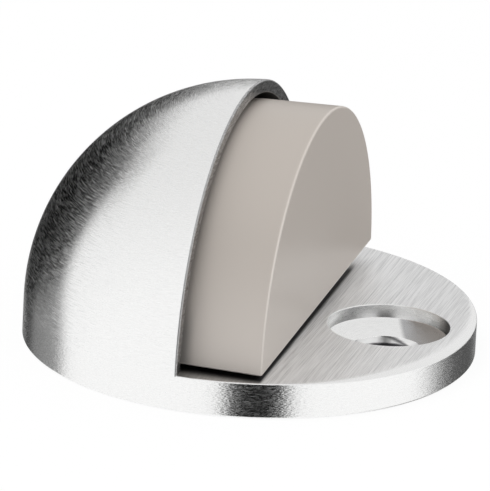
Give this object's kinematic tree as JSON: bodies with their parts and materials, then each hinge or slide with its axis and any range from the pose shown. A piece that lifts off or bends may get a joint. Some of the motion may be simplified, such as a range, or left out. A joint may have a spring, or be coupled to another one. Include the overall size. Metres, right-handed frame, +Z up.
{
  "type": "half-dome floor door stop",
  "caption": "Half-dome floor door stop: a satin metal casting with a round base, a half-dome shell, a grey rubber bumper in its open face and a stepped floor-screw hole.",
  "frame": {"origin": "centre of the round base's underside, on the floor", "axes": "+Z up from the floor, -Y the way the bumper faces, towards the door"},
  "size_m": [0.0444, 0.0444, 0.0258],
  "materials": {
    "satin_chrome": "satin chrome plate on a casting, brushed in straight lines on the flats and across the dome",
    "grey_rubber": "matt moulded warm grey rubber",
    "insert_brass": "turned, as machined",
    "zinc_steel": "bright zinc plate"
  },
  "bodies": {
    "root": {"dome_body": "satin_chrome", "bumper": "grey_rubber", "bumper_insert": "insert_brass", "bumper_screw": "zinc_steel"}
  },
  "joints": []
}
